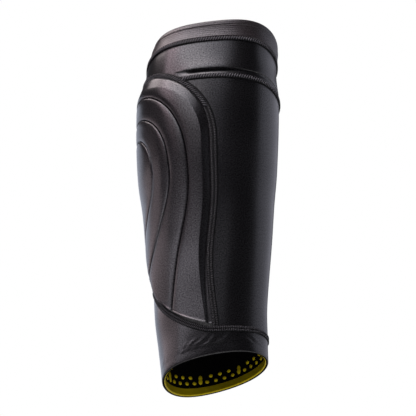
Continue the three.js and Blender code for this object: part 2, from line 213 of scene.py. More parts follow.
def along_line(line, share):
    """Angle and height on a line, from its lower end (0) by its widest place to its arch (1)."""
    half_turn, widest, top, _ = line
    rising = lerp(widest, line_end(line), np.maximum(0, 1 - 2 * share))
    sweep = np.maximum(0, share - 0.5) * math.pi
    arching = lerp(widest, top, np.sin(sweep) ** (2 / ARCH_POWER))
    across = half_turn * np.maximum(0, np.cos(sweep)) ** (2 / ARCH_POWER)
    height = np.where(share <= 0.5, rising, arching)
    return np.where(share <= 0.5, line_turn(line, rising), across * waist(arching)), height


print("outer channel ends at mm:", round(float(line_end(OUTER_CHANNEL)) / MM, 1))

# %% [markdown]
# Cloth walls. A panel is a grid of places on the leg's surface with a second sheet under it, closed
# all round its edge: real fabric has two faces, and here both can be seen through the openings.
# Solidify could thicken a sheet, but the inside of the pad has to stay on the leg while its outside
# swells, so the inner sheet is placed by its own distance. A UV map called cloth holds each corner's
# place on the flat panel in metres, for materials that follow the knit.

# %% Make a closed wall from a grid of places
WELD = 0.001 * MM
MEAN_RADIUS = 55 * MM


def weld_keys(points):
    """Points as whole numbers, equal for points that lie closer than the weld distance."""
    return np.round(points.reshape(-1, 3) / WELD).astype(np.int64)


def sheet_of(turn, height, out):
    """Welded points of a grid, their places, its faces, and each face corner's flat place."""
    places = np.stack(np.broadcast_arrays(turn, height, out), -1)
    columns = places.shape[1]
    places = places.reshape(-1, 3)
    points = skin(*places.T)
    _, first, same = np.unique(weld_keys(points), axis=0, return_index=True, return_inverse=True)
    same = same.reshape(-1)
    flat = np.stack([np.radians(places[:, 0]) * MEAN_RADIUS, places[:, 1]], 1)
    faces, corners = [], []
    for start in range(len(places) - columns):
        if (start + 1) % columns == 0:
            continue
        ring = [start, start + 1, start + columns + 1, start + columns]
        kept = [ring[i] for i in range(4) if same[ring[i]] != same[ring[i - 1]]]
        if len(kept) > 2:
            faces.append([int(same[k]) for k in kept])
            corners.append(flat[kept])
    return points[first], places[first], faces, corners


def new_mesh(name, points, edges, faces):
    mesh = bpy.data.meshes.new(name)
    mesh.from_pydata(points, edges, faces)
    return mesh


def add_piece(name, data):
    piece = bpy.data.objects.new(name, data)
    scene.collection.objects.link(piece)
    return piece


def closed_wall(name, sheet, inner, materials, sharp=40):
    """A piece from an outer sheet and the same sheet at another distance off the fabric.

    A second material covers the inner sheet and the edges.
    """
    points, places, faces, corners = sheet
    under = skin(places[:, 0], places[:, 1], inner)
    count = len(points)
    edges = {(a, b): i for i, face in enumerate(faces) for a, b in zip(face, face[1:] + face[:1])}
    every = [*faces, *([i + count for i in reversed(face)] for face in faces)]
    flat = [*corners, *(corner[::-1] for corner in corners)]
    for (a, b), i in edges.items():
        if (b, a) not in edges:
            every.append([b, a, a + count, b + count])
            flat.append(np.repeat(corners[i][:1], 4, 0))
    mesh = new_mesh(name, np.concatenate([points, under]).tolist(), [], every)
    uv = mesh.uv_layers.new(name="cloth")
    uv.data.foreach_set("uv", np.concatenate(flat).astype(np.float32).ravel())
    lined = [len(materials) > 1 and i >= len(faces) for i in range(len(every))]
    mesh.polygons.foreach_set("material_index", np.array(lined, np.int32))
    mesh.polygons.foreach_set("use_smooth", np.ones(len(every), bool))
    for material in materials:
        mesh.materials.append(material)
    mesh.set_sharp_from_angle(angle=math.radians(sharp))
    print(name, "faces:", len(every))
    return add_piece(name, mesh)


print("weld distance in mm:", WELD / MM)

# %% [markdown]
# Materials. Stretch knit is a fine jersey of polyester and spandex: it is almost black, but its
# smooth threads give a satin shine that breaks up into a visible grain. All fabrics here share one
# node tree with different sizes: specks of noise vary the shade, the gloss and the relief, wide
# clouds vary the roughness, and the elastic adds ribs. A photographed weave would be more exact, but
# noise needs no file and has no seams.

# %% Node helpers and colours
NOISE_LOW, NOISE_HIGH = 0.3, 0.7  # nearly all values of a noise texture lie between these


def add_node(tree, kind, inputs=None, **settings):
    """Adds a node. An input is a value, or another node's output to link."""
    node = tree.nodes.new(kind)
    for key, value in settings.items():
        setattr(node, key, value)
    for key, value in (inputs or {}).items():
        if isinstance(value, bpy.types.NodeSocket):
            tree.links.new(value, node.inputs[key])
        else:
            node.inputs[key].default_value = value
    return node


def colour(code):
    """A sRGB hex colour as linear RGBA."""
    parts = [int(code[i:i + 2], 16) / 255 for i in (1, 3, 5)]
    return [p / 12.92 if p <= 0.04045 else ((p + 0.055) / 1.055) ** 2.4 for p in parts] + [1]


def new_material(name):
    material = bpy.data.materials.new(name)
    material.use_nodes = True
    material.node_tree.nodes.clear()
    return material, material.node_tree


def add_noise(tree, place, size, **inputs):
    """A noise with lumps of a size in metres."""
    return add_node(tree, "ShaderNodeTexNoise", {
        "Vector": place, "Scale": 1 / size, **inputs}).outputs["Fac"]


def add_range(tree, value, low, high, least=NOISE_LOW, most=NOISE_HIGH):
    """A value's range, a noise's if none is given, spread out from low to high."""
    return add_node(tree, "ShaderNodeMapRange", {
        "Value": value, "From Min": least, "From Max": most, "To Min": low, "To Max": high}).outputs[0]


def add_shade(tree, share, dark, light):
    return add_node(tree, "ShaderNodeMix", {
        "Factor": share, "A": colour(dark), "B": colour(light)}, data_type="RGBA").outputs["Result"]


def add_relief(tree, height, depth, **under):
    return add_node(tree, "ShaderNodeBump", {
        "Height": height, "Strength": 1, "Distance": depth, **under}).outputs["Normal"]


def add_surface(tree, inputs):
    shader = add_node(tree, "ShaderNodeBsdfPrincipled", inputs)
    add_node(tree, "ShaderNodeOutputMaterial", {"Surface": shader.outputs["BSDF"]})
    return shader


print("mid grey in linear light:", round(colour("#808080")[0], 3))

# %% Fabrics
WAVE_BAND = 2 * math.pi / 20  # a Wave texture of scale 1 has bands of this width
CLOUD_SIZE, GLOSS_VARIES, ROUGH_VARIES = 40 * MM, 0.7, 0.03
SHADE_LOW, SHADE_HIGH = 0.35, 0.65  # a narrower range for the shade, for more contrast
RIB_WANDER = 0.6


def fabric(name, dark, light, grain, depth, rough, gloss, rib=None, rib_depth=0.0):
    """A knitted or woven cloth. Grain and rib are widths in metres on the flat panel."""
    material, tree = new_material(name)
    flat = add_node(tree, "ShaderNodeUVMap", uv_map="cloth").outputs["UV"]
    specks = add_noise(tree, flat, grain, Detail=2, Roughness=0.6)
    clouds = add_noise(tree, flat, CLOUD_SIZE, Detail=2)
    normal = add_relief(tree, specks, depth)
    if rib:
        rows = add_node(tree, "ShaderNodeTexWave", {
            "Vector": flat, "Scale": WAVE_BAND / rib, "Distortion": RIB_WANDER, "Detail": 1},
            bands_direction="Y")
        normal = add_relief(tree, rows.outputs["Fac"], rib_depth, Normal=normal)
    shade = add_range(tree, specks, 0, 1, SHADE_LOW, SHADE_HIGH)
    shader = add_surface(tree, {
        "Base Color": add_shade(tree, shade, dark, light), "Normal": normal, "Specular IOR Level": gloss,
        "Roughness": add_range(tree, clouds, rough - ROUGH_VARIES, rough + ROUGH_VARIES)})
    # The mean gloss stays on the socket, for viewers that can't follow a link there
    shine = add_range(tree, specks, gloss * (1 - GLOSS_VARIES), gloss * (1 + GLOSS_VARIES))
    tree.links.new(shine, shader.inputs["Specular IOR Level"])
    return material


# Jersey loops are about 0.5 mm wide. The grain is drawn at twice that, because a pixel of the photo
# covers 0.9 mm. To the eye: nearly black cloth with a satin shine that breaks up into fine grain.
stretch_knit = fabric("stretch_knit_polyester", "#050506", "#161518", 1.1 * MM, 0.006 * MM, 0.3, 0.5)
# The same jersey stretched over pressed foam: a little lighter and duller
pad_knit = fabric("pad_cover_knit", "#060607", "#181619", 1.1 * MM, 0.006 * MM, 0.32, 0.5)
# Woven elastic: fine ribs run round the band, about 1 mm apart, drawn at 2.2 mm so that they show
ribbed_elastic = fabric("ribbed_woven_elastic", "#211d1e", "#362f31", 1.1 * MM, 0.01 * MM, 0.42, 0.5,
                        rib=2.2 * MM, rib_depth=0.07 * MM)
# Brushed inside of the knit, and its cut edges: a nap that takes up nearly all light
brushed_lining = fabric("brushed_lining", "#050506", "#0a0a0b", 1.5 * MM, 0.05 * MM, 0.9, 0.05)
print("nodes in a fabric:", len(stretch_knit.node_tree.nodes))

# %% Thread and silicone
FUZZ_SIZE, FUZZ_DEPTH = 0.9 * MM, 0.08 * MM
DUST_SIZE, DUST_DEPTH = 6 * MM, 0.05 * MM
SILICONE_SMOOTH, SILICONE_DULL, SILICONE_IOR = 0.32, 0.5, 1.41


def thread(name, dark, light, rough, gloss):
    """Textured polyester thread: fuzzy, a shade lighter than the cloth, so each stitch shows. Each seam's
    copy gets its own colours, which also hold painted light and shade.
    """
    material, tree = new_material(name)
    place = add_node(tree, "ShaderNodeTexCoord").outputs["Object"]
    fuzz = add_noise(tree, place, FUZZ_SIZE, Detail=2)
    add_surface(tree, {
        "Base Color": add_shade(tree, fuzz, dark, light), "Normal": add_relief(tree, fuzz, FUZZ_DEPTH),
        "Roughness": rough, "Specular IOR Level": gloss})
    return material


# Grey thread of the overlocked edges: soft ropes under the band and the collar. This is the thread's own
# grey, made lighter here as painted light for these well-lit seams
overlock_thread = thread("polyester_overlock_thread", "#343337", "#4c4b50", 0.5, 0.6)
# Darker copy of the same thread for the cuff's flat seam and the rope over the pad: painted shade for
# these dimmer seams, so the stitches just show
ladder_thread = thread("polyester_flatlock_thread", "#232225", "#3e3d41", 0.45, 0.45)
# Nearly black copy of the same thread beside the pad: painted shade for the pad's shaded side. It shows
# more by its shine than by its shade
shaded_pad_side_thread = thread("polyester_thread_painted_shade", "#121113", "#29282b", 0.45, 0.5)
# Dull cloth between the stitches: the dark ground that they stand out from
seam_tape = thread("flat_seam_fabric", "#060607", "#0b0b0c", 0.6, 0.12)
# Printed silicone: semi-gloss, a rubbery yellow that dulls a little where dust clings
grip_silicone, tree = new_material("printed_silicone")
silicone_place = add_node(tree, "ShaderNodeTexCoord").outputs["Object"]
dust = add_noise(tree, silicone_place, DUST_SIZE, Detail=4, Roughness=0.6)
add_surface(tree, {
    "Base Color": add_shade(tree, dust, "#d8bc0c", "#f4de22"),
    "Roughness": add_range(tree, dust, SILICONE_SMOOTH, SILICONE_DULL),
    "Normal": add_relief(tree, dust, DUST_DEPTH), "IOR": SILICONE_IOR})
print("materials:", sorted(m.name for m in bpy.data.materials if m.use_nodes))

# %% [markdown]
# Panels round the leg. The elastic band is two thick strips with a groove between them; the collar
# is a plain panel whose fold hangs over its lower edge at the sides; the cuff has a flat hem and
# small creases where its seam gathers it. Each is a cross-section, rows of heights and distances off
# the fabric, turned round the leg. A cloth simulation would find folds of its own, but these have to
# lie where the photo shows them. The panels meet under the middle of the seams.

# %% Elastic band
RING_COLUMNS = 240
BUTT = 0.05 * MM
RING_TURNS = np.linspace(-180, 180, RING_COLUMNS + 1)[None, :]
# Cross-section from the seam up: height and distance off the fabric
BAND_ROWS = np.array([
    [TOP_SEAM / MM + 0.05, 0], [301, 0], [301.2, 0.6], [301.5, 1.05], [302.1, 1.2], [302.9, 1],
    [304, 0.85], [308, 0.85], [311.8, 0.85], [312.6, 1], [313.1, 1.1], [313.5, 0.9],
    [313.75, 0.35], [314.1, 0.3], [314.5, 0.6], [315.5, 0.75], [317.5, 0.75], [318.8, 0.7],
    [319.5, 0.45], [319.9, 0], [320, -0.6]]) * MM

band_sheet = sheet_of(RING_TURNS, tilted(RING_TURNS, BAND_ROWS[:, :1], TOP_TILT), BAND_ROWS[:, 1:])
top_band = closed_wall("elastic_band", band_sheet, -FABRIC, [ribbed_elastic, brushed_lining])

# %% Collar with its fold
TUCK_HEIGHT, TUCK_REACH = 267.6 * MM, 1.4 * MM
TUCK_PAD_FROM, TUCK_PAD_TO, TUCK_CALF_FROM, TUCK_CALF_TO, TUCK_CALF_SHARE = 66, 84, 105, 140, 0.35
# The fold's cross-section: height over its lip when flat, the same when folded, share of its reach
TUCK_ROWS = np.array([
    [-5, -5, -0.1], [-4.3, -4.3, -0.3], [-3.6, -3.3, -0.6], [-2.8, -2, -0.85], [-2.1, -0.9, -0.9],
    [-1.6, -0.1, -0.8], [-1.3, 0.2, -0.35], [-1, 0.1, 0.1], [-0.7, -0.3, 0.5], [-0.4, -0.6, 0.8],
    [0, -0.5, 0.96], [0.5, 0.1, 1], [1.2, 1, 0.98], [3, 3, 0.85], [6, 6, 0.6],
    [10, 10, 0.35], [15, 15, 0.15], [21, 21, 0.03]])
COLLAR_FOOT, COLLAR_HEAD = COLLAR_SEAM + BUTT, TOP_SEAM - BUTT


def tuck_share(turn):
    """How far the fold hangs out at an angle: it fades towards the pad and the calf."""
    angle = from_shin(turn)
    at_pad = smoothstep(angle, TUCK_PAD_FROM, TUCK_PAD_TO)
    return at_pad * lerp(1, TUCK_CALF_SHARE, smoothstep(angle, TUCK_CALF_FROM, TUCK_CALF_TO))


seam_middle = lerp(SEAM_INNER, SEAM_OUTER, 0.5)
fold = tuck_share(RING_TURNS)
rise = lerp(TUCK_ROWS[:, :1], TUCK_ROWS[:, 1:2], fold) * MM + TUCK_HEIGHT
rise = np.concatenate([np.full_like(RING_TURNS, COLLAR_FOOT), rise, np.full_like(RING_TURNS, COLLAR_HEAD)])
reach = np.concatenate([[[0]], TUCK_ROWS[:, 2:], [[0]]]) * TUCK_REACH * fold
low = np.maximum(COLLAR_FOOT, arch_height(seam_middle, from_shin(RING_TURNS)))
climb = (rise - COLLAR_FOOT) / (COLLAR_HEAD - COLLAR_FOOT)
collar_sheet = sheet_of(RING_TURNS, lerp(low, tilted(RING_TURNS, COLLAR_HEAD, TOP_TILT), climb), reach)
collar = closed_wall("collar_cloth", collar_sheet, -FABRIC, [stretch_knit, brushed_lining])

# %% Calf panel
CALF_ROWS, CALF_COLUMNS = 110, 90
CALF_HEAD = COLLAR_SEAM - BUTT
edge_share = np.linspace(0, 1, CALF_ROWS + 1)[:, None]
edge_height = lerp(line_end(seam_middle), CALF_HEAD, edge_share)
edge_turn = line_turn(seam_middle, edge_height)
calf_turns = lerp(edge_turn, 360 - edge_turn, np.linspace(0, 1, CALF_COLUMNS + 1)[None, :])
calf_sheet = sheet_of(calf_turns, lerp(cuff_middle(calf_turns) + BUTT, CALF_HEAD, edge_share), 0)
calf_panel = closed_wall("calf_cloth", calf_sheet, -FABRIC, [stretch_knit, brushed_lining])

# %% Ankle cuff
CUFF_ROWS = 44
# Cross-section of the hem: height over the rim, and distance off the fabric
HEM_ROWS = np.array([
    [0, -0.4], [0.05, -0.05], [0.35, 0.1], [1, 0.15], [3, 0.15], [5, 0.1], [7, 0]]) * MM
# The creases fade out at the hem and towards the seam: shares of the way up
CREASE_FROM, CREASE_TO = 0.08, 0.75
# Creases, the same on both sides: angle, height over the rim, slant in degrees, length, width, out
CREASES = np.array([
    [19, 8, 72, 11, 1.3, 0.25], [26, 10, 66, 12, 1.5, 0.25], [33, 8, 70, 9, 1.3, 0.2],
    [56, 12.5, 74, 7, 1.2, 0.2], [61, 8.5, 38, 6, 1, 0.26], [64, 13.5, 58, 6, 1.1, 0.24],
    [69, 10, 66, 5, 0.9, 0.26], [73, 14, 34, 8, 1, 0.28], [76, 8, 52, 5, 1, 0.22],
    [80, 12, 28, 7, 1.1, 0.26], [86, 14.5, 60, 6, 1, 0.24], [89, 9.5, 22, 8, 1, 0.24],
    [95, 13, 46, 7, 1.2, 0.26], [101, 9.5, 18, 9, 1.2, 0.22], [109, 12.5, 40, 9, 1.4, 0.2],
    [128, 12, -25, 10, 1.6, 0.2], [136, 10, -38, 8, 1.4, 0.2], [146, 12, -28, 10, 1.6, 0.2]])


def crease_out(turn, above):
    """How far the creases push the cuff out at a place."""
    per_degree = math.pi * GIRTH_WIDTHS[0] / 360
    out = 0
    for at, up, slant, length, width, high in CREASES:
        round_leg = (from_shin(turn) - at) * per_degree / MM
        over = above / MM - up
        sine, cosine = math.sin(math.radians(slant)), math.cos(math.radians(slant))
        along = (round_leg * cosine + over * sine) / (length / 2)
        across = (over * cosine - round_leg * sine) / width
        out = out + high * MM * np.exp(-along**2 - across**2)
    return out


rim = hem_rim(RING_TURNS)
share = np.linspace(0, 1, CUFF_ROWS + 1)[1:, None]
upper = lerp(rim + HEM_ROWS[-1, 0], cuff_middle(RING_TURNS) - BUTT, share)
calm = smoothstep(share, 1, CREASE_TO) * smoothstep(share, 0, CREASE_FROM)
cuff_heights = np.concatenate([rim + HEM_ROWS[:, :1], upper])
cuff_outs = np.concatenate([HEM_ROWS[:, 1:] + 0 * rim, calm * crease_out(RING_TURNS, upper - rim)])
ankle_cuff = closed_wall("cuff_cloth", sheet_of(RING_TURNS, cuff_heights, cuff_outs), -FABRIC,
                         [stretch_knit, brushed_lining])

# %% [markdown]
# The shin pad. It is foam under a knit cover, pressed along three channels, so the cover swells
# between them. The sheet has rows along the channels, and a cloth simulation blows it up with a
# little air pressure while the channels, the edge and the seam allowance are pinned, as pressing
# and sewing pin the real one. The result is evened out, because a thin sheet puckers where foam
# wouldn't, and a cap keeps the foam's thickness. A voxel remesh, common for cushions, would lose
# channels this narrow, so the pinned rows take its place.

# %% Rows of the pad
PAD_SHOULDER, PAD_CHANNEL, PAD_EDGE, PAD_FOOT_OUT = 6.0 * MM, 3.7 * MM, 5.8 * MM, 0.6 * MM
# The foam thins towards the cuff seam at the sides, and a little towards the arch
PAD_LOW_RUN, PAD_LOW_SHARE, PAD_LOW_FROM_TURN, PAD_LOW_TO_TURN = 75 * MM, 0.4, 25, 55
PAD_HIGH_FROM, PAD_HIGH_TO, PAD_HIGH_SHARE, PAD_THIN = 200 * MM, 264 * MM, 0.86, 0.45 * MM
# A pressed rim runs along the lower edge: height over the seam, half width, height
LOW_RIM_AT, LOW_RIM_HALF, LOW_RIM_OUT = 1.4 * MM, 1.2 * MM, 0.7 * MM
# The pad slopes down to the cuff seam: steeply at the sides, gently over the shin
PAD_BEVEL, PAD_TOE, PAD_TOE_TURN = 0.9 * MM, 40 * MM, 42
# Beside a channel: distance from its middle, and share of the way from its bottom to the shoulder
CHANNEL_SIDE = np.array([
    [0, 0], [0.3, 0.2], [0.6, 0.58], [0.9, 0.72], [1.6, 0.82], [2.8, 0.92], [4.6, 1]])
CHANNEL_REACH = CHANNEL_SIDE[-1, 0] * MM
# Most of the oval, and of the space between two channels, that a channel's side may take up
OVAL_SIDE, LOBE_SIDE, NARROWEST_LOBE = 0.18, 0.3, 2 * MM
LOBE_SHARES = [0.34, 0.42, 0.5, 0.58, 0.66]
# One more row ends on top of the cuff's arch, and goes on upwards close to the lobe's last row
ARCH_ROW_SHARE, ARCH_ROW_RUN = LOBE_SHARES[-1] + 0.02, 0.08
# The pad's edge slopes to the seam: shares of the way there, and what is left of its height
EDGE_STEPS, EDGE_AT_SIDE, EDGE_AT_ARCH = [0, 0.08, 0.3, 0.5, 0.7, 0.92, 1], 0.1, 0.5
EDGE_SIDE_TO, EDGE_ARCH_FROM = 0.5, 0.66
# Over the arch the last lobe rounds off before that edge: height there, and share of the lobe
BROW_AT_ARCH, ROUND_FROM = 5.3 * MM, 0.3
MIDDLE_SHARES = [0.12, 0.24, 0.36, 0.48, 0.6, 0.7, 0.8]
PAD_LINES = [INNER_CHANNEL, MIDDLE_CHANNEL, OUTER_CHANNEL, PAD_BROW]
# Places along a line, in shares of its length: close together just over the cuff seam, then even
LOW_SHARES = [0, 0.0015, 0.003, 0.0045, 0.006, 0.008, 0.01, 0.0125, 0.016, 0.021]
SIDE_SHARES, ARCH_SHARES = np.linspace(0.03, 0.5, 70), np.linspace(0.5, 1, 65)[1:]
pad_shares = np.concatenate([LOW_SHARES, SIDE_SHARES, ARCH_SHARES])
pad_along = np.concatenate([pad_shares, pad_shares[-2::-1]])
pad_side = np.where(np.arange(len(pad_along)) < len(pad_shares), -1, 1)


def on_skin(line):
    return skin(*along_line(line, pad_along), 0)


def beside_channel(away, span, most):
    """Share of a span at a distance beside a channel, whose side takes up a part of it at most."""
    return np.minimum(away * MM / span, most * away * MM / CHANNEL_REACH)


def shrunk(line, share):
    """A pad line drawn in towards the middle of its oval."""
    half_turn, widest, top, draw_in = line
    return np.array([half_turn * share, widest + 0 * share, lerp(widest, top, share),
                     draw_in * share ** (1 - DRAW_POWER)])


def share_over_arch(line, after):
    """Share of the way between two pad lines where a line ends just on top of the cuff seam's arch."""
    top = beside_cuff_seam(np.array(0.0), PAD_CLEAR)

    def over(share):
        return line_turn(lerp(line, after, share), top) > 0

    return halved(0, 1, SHARE_HALVINGS, over)[0]


pad_rows = []  # each: angles, heights, distances out, whether the row is pinned


def add_row(line, out, held=False):
    pad_rows.append((*along_line(line, pad_along), out + 0 * pad_along, held))


shoulder = PAD_SHOULDER - PAD_CHANNEL
heart = skin(0, INNER_CHANNEL[1], 0)
radius = np.linalg.norm(on_skin(INNER_CHANNEL) - heart, axis=-1)
pad_rows.append((0 * pad_along, 0 * pad_along + INNER_CHANNEL[1], 0 * pad_along + PAD_SHOULDER, False))
for inside in MIDDLE_SHARES:
    add_row(shrunk(INNER_CHANNEL, inside + 0 * pad_along), PAD_SHOULDER)
for away, level in CHANNEL_SIDE[:0:-1]:
    inside = 1 - beside_channel(away, radius, OVAL_SIDE)
    add_row(shrunk(INNER_CHANNEL, inside), PAD_CHANNEL + level * shoulder)
at_arch = smoothstep(pad_along, EDGE_SIDE_TO, EDGE_ARCH_FROM)
brow_out = lerp(PAD_EDGE, BROW_AT_ARCH, at_arch)
for line, after in zip(PAD_LINES, PAD_LINES[1:]):
    width = np.maximum(np.linalg.norm(on_skin(after) - on_skin(line), axis=-1), NARROWEST_LOBE)
    edge = after is PAD_BROW
    near = [(beside_channel(away, width, LOBE_SIDE), level) for away, level in CHANNEL_SIDE]
    steps = [*near, *((s, 1.0) for s in LOBE_SHARES)]
    if line is INNER_CHANNEL:
        to_arch = smoothstep(pad_along, ARCH_ROW_RUN, 0)
        steps.append((lerp(ARCH_ROW_SHARE, share_over_arch(line, after), to_arch), 1.0))
    steps += [(1 - s, 1.0 if edge else level) for s, level in near[:0:-1]]
    for s, level in steps:
        between = lerp(line[:, None], after[:, None], s + 0 * pad_along)
        out = PAD_CHANNEL + level * shoulder
        if edge:
            rounded = (np.maximum(0, s - ROUND_FROM) / (1 - ROUND_FROM)) ** 2
            out = lerp(out, brow_out, at_arch * rounded)
        add_row(between, out, level == 0)
edge_end = PAD_EDGE * lerp(EDGE_AT_SIDE, EDGE_AT_ARCH, at_arch)
for s in EDGE_STEPS:
    add_row(lerp(PAD_BROW, PAD_FOOT, s), lerp(brow_out, edge_end, s), True)
add_row(seam_middle, 0, True)
print("pad rows and columns:", len(pad_rows), len(pad_along))

# %% Lower edge of the pad and its sheet
SEAM_TOUCH = 0.5 * MM
pad_turn, pad_height, pad_out = (np.stack([row[i] for row in pad_rows]) for i in range(3))
over_seam = pad_height - beside_cuff_seam(pad_turn, PAD_CLEAR)
at_side = smoothstep(pad_turn, PAD_LOW_FROM_TURN, PAD_LOW_TO_TURN)
thinned = 1 - (1 - PAD_LOW_SHARE) * at_side * smoothstep(over_seam, PAD_LOW_RUN, 0)
thinned = thinned - (1 - PAD_HIGH_SHARE) * smoothstep(pad_height, PAD_HIGH_FROM, PAD_HIGH_TO)
thin_out = np.maximum(PAD_THIN, pad_out - (1 - thinned) * PAD_SHOULDER)
low_rim = LOW_RIM_OUT * np.exp(-((over_seam - LOW_RIM_AT) / LOW_RIM_HALF) ** 2)
slope = lerp(PAD_TOE, PAD_BEVEL, smoothstep(pad_turn, 0, PAD_TOE_TURN))
bevel = np.sqrt(smoothstep(over_seam, 0, slope))
flat_row = np.array([[row[2].max() == 0] for row in pad_rows])
pad_out = np.where(flat_row, 0, lerp(PAD_FOOT_OUT, thin_out + low_rim, bevel))
pinned = np.array([[row[3]] for row in pad_rows]) | (over_seam < 2 * LOW_RIM_AT)
on_seam = over_seam[:, :1] < SEAM_TOUCH  # rows that go on under the cuff seam, as its allowance
end_height = np.where(on_seam, cuff_middle(pad_turn[:, :1]) + BUTT, pad_height[:, :1])
end_out = np.where(on_seam, 0, pad_out[:, :1])


def with_ends(grid, end):
    return np.concatenate([end, grid, end], 1)


pad_height, pad_out = with_ends(pad_height, end_height), with_ends(pad_out, end_out)
pad_turn = with_ends(pad_turn, pad_turn[:, :1]) * np.concatenate([[-1], pad_side, [1]])
pinned = with_ends(pinned, pinned[:, :1])
pad_sheet = sheet_of(pad_turn, pad_height, pad_out)
keys = weld_keys(skin(pad_turn, pad_height, pad_out)).tolist()
held_at = {tuple(key): held for key, held in zip(keys, pinned.ravel().tolist())}
sewn = [i for i, key in enumerate(weld_keys(pad_sheet[0]).tolist()) if held_at[tuple(key)]]
print("pad points:", len(pad_sheet[0]), "pinned:", len(sewn))

# %% Blow the cover up between its channels
PAD_PRESSURE, PAD_MASS, SWELL_CAP, SWELL_FRAMES, EVEN_ROUNDS = 8, 0.02, 1.0 * MM, 20, 15


def swollen(points, faces, held):
    """The points of a sheet after a cloth simulation with pressure from below."""
    cover = add_piece("pad_cover", new_mesh("pad_cover", points.tolist(), [], faces))
    cover.vertex_groups.new(name="sewn").add(held, 1.0, "REPLACE")
    cloth = cover.modifiers.new("swell", "CLOTH")
    cloth.settings.vertex_group_mass = "sewn"
    cloth.settings.mass = PAD_MASS
    cloth.settings.use_pressure = True
    cloth.settings.uniform_pressure_force = PAD_PRESSURE
    cloth.settings.effector_weights.gravity = 0
    cloth.collision_settings.use_collision = False
    cloth.point_cache.frame_start, cloth.point_cache.frame_end = 1, SWELL_FRAMES
    for number in range(1, SWELL_FRAMES + 1):
        scene.frame_set(number)
    result = cover.evaluated_get(bpy.context.evaluated_depsgraph_get()).data
    moved = np.zeros(len(points) * 3, np.float32)
    result.vertices.foreach_get("co", moved)
    bpy.data.objects.remove(cover)
    scene.frame_set(1)
    return moved.reshape(-1, 3).astype(float)


def evened(step, faces, held):
    """Steps averaged with those of the neighbouring points, so that the cover swells without puckers."""
    links = np.array([(a, b) for face in faces for a, b in zip(face, face[1:] + face[:1])])
    count = 1 + np.bincount(links[:, 0], minlength=len(step))[:, None]
    for _ in range(EVEN_ROUNDS):
        total = step.copy()
        np.add.at(total, links[:, 0], step[links[:, 1]])
        step = total / count
        step[held] = 0
    return step


step = evened(swollen(pad_sheet[0], pad_sheet[2], sewn) - pad_sheet[0], pad_sheet[2], sewn)
far = np.linalg.norm(step, axis=1, keepdims=True)
print("swelling in mm, middle, 90 % and most:", np.round(np.percentile(far / MM, [50, 90, 100]), 2))
step *= SWELL_CAP * np.tanh(far / SWELL_CAP) / np.maximum(far, WELD)
pad_sheet = (pad_sheet[0] + step, *pad_sheet[1:])
shin_pad = closed_wall("padded_cover", pad_sheet, -FABRIC, [pad_knit, brushed_lining], sharp=75)

# %% [markdown]
# Seams. Under each row of stitches lies a flat strip where the two panels overlap. Its stitches all
# have the same shape and follow a path, which is work for Geometry Nodes: one tree sets a bead of
# thread at every step along a path, turned to the path and to the surface under it. Long beads make
# the ropes of overlock, short ones the rungs of flat seams, and round ones the grip's raised dots.
# Modelling each stitch by hand would be slower, and stitches in a bump map vanish at the outline.

# %% Flat strips under the stitches
STRIP_UNDER = 0.12 * MM
# Across a strip: share of its width, and distance off the fabric
STRIP_ROWS = np.array([[0, 0.2], [0.03, 0.4], [0.1, 0.55], [0.3, 0.7], [0.5, 0.75], [0.7, 0.7],
                       [0.9, 0.55], [0.97, 0.4], [1, 0.2]])
STRIP_SHARES, STRIP_OUTS = STRIP_ROWS[:, :1], STRIP_ROWS[:, 1:] * MM
# An overlocked edge hangs a little over the panel below it
OVERLOCK_OUTS = np.array([0.2, 1.0, 1.15, 1.1, 0.95, 0.8, 0.6, 0.45, 0.2])[:, None] * MM


def strip(name, turn, height, outs=STRIP_OUTS):
    return closed_wall(name, sheet_of(turn, height, outs), STRIP_UNDER, [seam_tape], sharp=60)


across = lerp(-1, 1, STRIP_SHARES)
top_rows = TOP_SEAM + lerp(TOP_SEAM_LOW, TOP_SEAM_HIGH, STRIP_SHARES)
top_seam = strip("top_seam_strip", RING_TURNS, tilted(RING_TURNS, top_rows, TOP_TILT), OVERLOCK_OUTS)
collar_rows = COLLAR_SEAM + across * COLLAR_SEAM_HALF
collar_from = line_turn(SEAM_OUTER, collar_rows)
collar_turns = lerp(collar_from, 360 - collar_from, np.linspace(0, 1, RING_COLUMNS // 2 + 1)[None, :])
collar_seam = strip("collar_seam_strip", collar_turns, collar_rows, OVERLOCK_OUTS)
cuff_seam = strip("cuff_seam_strip", RING_TURNS, beside_cuff_seam(RING_TURNS, across * CUFF_SEAM_HALF))
strip_spots = [along_line(lerp(SEAM_INNER, SEAM_OUTER, s), pad_along) for s in STRIP_SHARES[:, 0]]
strip_turn, strip_height = (np.stack([spot[i] for spot in strip_spots]) for i in (0, 1))
pad_seam = strip("pad_seam_strip", strip_turn * pad_side, strip_height)


